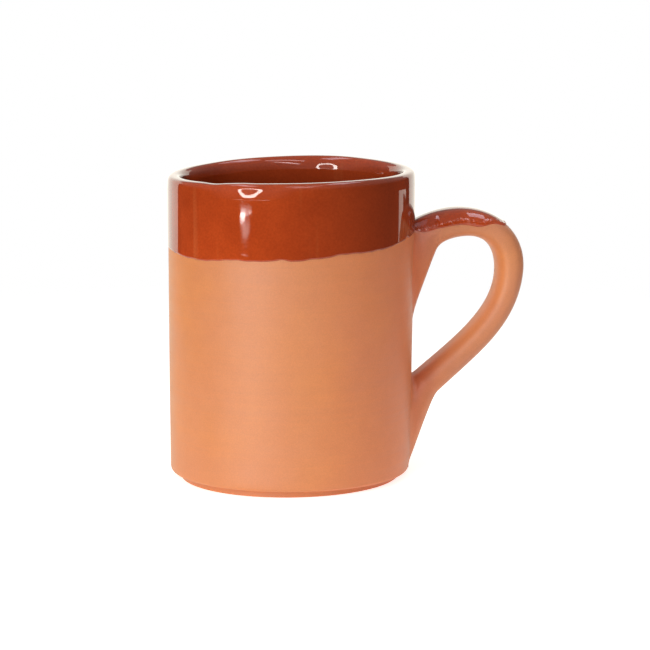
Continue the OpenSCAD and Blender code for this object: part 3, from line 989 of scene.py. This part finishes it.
# %% Lamps
def compass(away, distance, height):
    """A place round the mug, in metres. away is degrees from the camera's side, left is positive."""
    a = math.radians(-97 - away)
    return Vector((distance * math.cos(a), distance * math.sin(a), height))


def lamp(name, place, target, shape, size, radiance, colour, mask=None):
    """An area lamp of the given radiance, aimed at a point. Its power follows from its area. A mask
    makes it a ring: the radius where its dim middle ends, the radius where full light begins, both as
    shares of the lamp's size, and the level in the middle."""
    light = bpy.data.lights.new(name, "AREA")
    light.shape, light.size, light.size_y = shape, size[0], size[1]
    area = size[0] * size[1] * (math.pi / 4 if shape in ("DISK", "ELLIPSE") else 1)
    light.energy = radiance * math.pi * area
    light.color = colour
    lamp_object = bpy.data.objects.new(name, light)
    lamp_object.location = place
    lamp_object.rotation_euler = (place - target).to_track_quat("Z", "Y").to_euler()
    lamp_object.visible_camera = False
    bpy.context.collection.objects.link(lamp_object)
    if mask:
        light.use_nodes = True
        tree = light.node_tree
        tree.nodes.clear()
        flat = add(tree, "NewGeometry").outputs["Parametric"]
        centred = add(tree, "VectorMath", {0: flat, 1: (0.5, 0.5, 0)}, operation="SUBTRACT")
        flattened = add(tree, "VectorMath", {0: centred.outputs["Vector"], 1: (1, 1, 0)},
                        operation="MULTIPLY")
        radius = add(tree, "VectorMath", {0: flattened.outputs["Vector"]}, operation="LENGTH")
        level = add(tree, "MapRange", {"Value": radius.outputs["Value"], "From Min": mask[0],
                                       "From Max": mask[1], "To Min": mask[2], "To Max": 1})
        glow = add(tree, "Emission", {"Strength": level.outputs["Result"]})
        add(tree, "OutputLight", {"Surface": glow.outputs["Emission"]})
    return lamp_object


middle = Vector((0, 0, 0.06))
lamp("key", compass(41, 1.25, 0.56), middle, "DISK", (0.54, 0.54), 18, (1.0, 0.98, 0.93),
     mask=(0.355, 0.365, 0.02))
above = lamp("above", compass(15, 0.36, 0.92), middle, "DISK", (0.5, 0.5), 2.8, (1.0, 0.95, 0.9))
above.visible_glossy = False
# Small windows and lamps far off, which only the gloss shows
gleams = [
    ("sheen", compass(36, 1.0, 0.05), "RECTANGLE", (0.6, 0.14), 11.5, (1.0, 1.0, 1.0)),
    ("streak", compass(44.9, 1.0, -0.0495), "ELLIPSE", (0.105, 0.0044), 34, (1.0, 0.98, 0.94)),
    ("streak_flag", compass(39.5, 1.0, -0.0483), "ELLIPSE", (0.11, 0.0018), 20, (1.0, 0.98, 0.94)),
    ("streak_low", compass(42, 1.0, -0.0575), "ELLIPSE", (0.14, 0.008), 4, (1.0, 0.98, 0.94)),
    ("skylight_left", from_picture(-390, 60, 940) * MM, "RECTANGLE", (0.7, 0.16), 4.5, (0.85, 0.85, 1.0)),
    ("skylight_right", from_picture(400, 60, 940) * MM, "RECTANGLE", (0.7, 0.26), 4.5, (0.85, 0.85, 1.0)),
    ("window", compass(-6, 1.6, 0.86), "RECTANGLE", (1.0, 0.28), 11, (1.0, 0.78, 0.8)),
    ("pelmet", compass(-8, 0.75, 0.93), "RECTANGLE", (0.7, 0.16), 5, (1.0, 0.82, 0.86))]
for name, spot, shape, size, radiance, colour in gleams:
    lamp(name, spot, middle, shape, size, radiance, colour).visible_diffuse = False
print("lamps:", len(gleams) + 2)

# %% Dark cloths
cloth, tree = new_material("dark_cloth")
where = add(tree, "TexCoord").outputs["Object"]
height = add(tree, "SeparateXYZ", {"Vector": where}).outputs["Z"]
# Each cloth is not lit but glows dimly, a painted brightness that is darkest low down
level = add(tree, "MapRange", {"Value": height, "From Min": 0.15, "From Max": 0.6,
                               "To Min": 0.04, "To Max": 0.42})
dark = add(tree, "Emission", {"Color": linear("#fff9f7"), "Strength": level.outputs["Result"]})
add(tree, "OutputMaterial", {"Surface": dark.outputs["Emission"]})


def only_reflected(name, mesh):
    """Sets up a cloth that nothing but reflections see."""
    mesh.materials.append(cloth)
    screen = bpy.data.objects.new(name, mesh)
    bpy.context.collection.objects.link(screen)
    screen.visible_camera = screen.visible_diffuse = screen.visible_shadow = False
    screen.visible_transmission = screen.visible_volume_scatter = False
    screen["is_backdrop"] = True
    print(f"{name}: {len(mesh.vertices)} points")


def hang(name, left, right, low, high, distance=1.6):
    """A curved cloth between two bearings and two heights. All distances are in metres."""
    bearings = np.linspace(left, right, max(3, int(abs(right - left) / 6)))
    points = [compass(b, distance, h) for h in (low, high) for b in bearings]
    n = len(bearings)
    mesh = bpy.data.meshes.new(name)
    mesh.from_pydata(points, [], [(i, i + 1, n + i + 1, n + i) for i in range(n - 1)])
    only_reflected(name, mesh)


hang("cloth_front", -117, 129, -0.6, 1.0)
hang("cloth_side", -139, -131, -0.6, 1.0)
hang("cloth_gap", -131, -117, -0.10, 1.0)
hang("cloth_low", -131, -124, -0.6, -0.133)
# The roof starts 25 degrees above the horizon
roof = bpy.data.meshes.new("cloth_roof")
roof.from_pydata([compass(b, 2.1, 1.0) for b in range(-180, 180, 6)], [], [tuple(range(60))])
only_reflected("cloth_roof", roof)

# %% [markdown]
# ## The sizes
# The visual model must fill the same box as the imported one. Its box is printed.

# %% Write the sizes and finish
low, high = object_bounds()
print("box:", [round(v * 1000, 1) for v in low], [round(v * 1000, 1) for v in high])
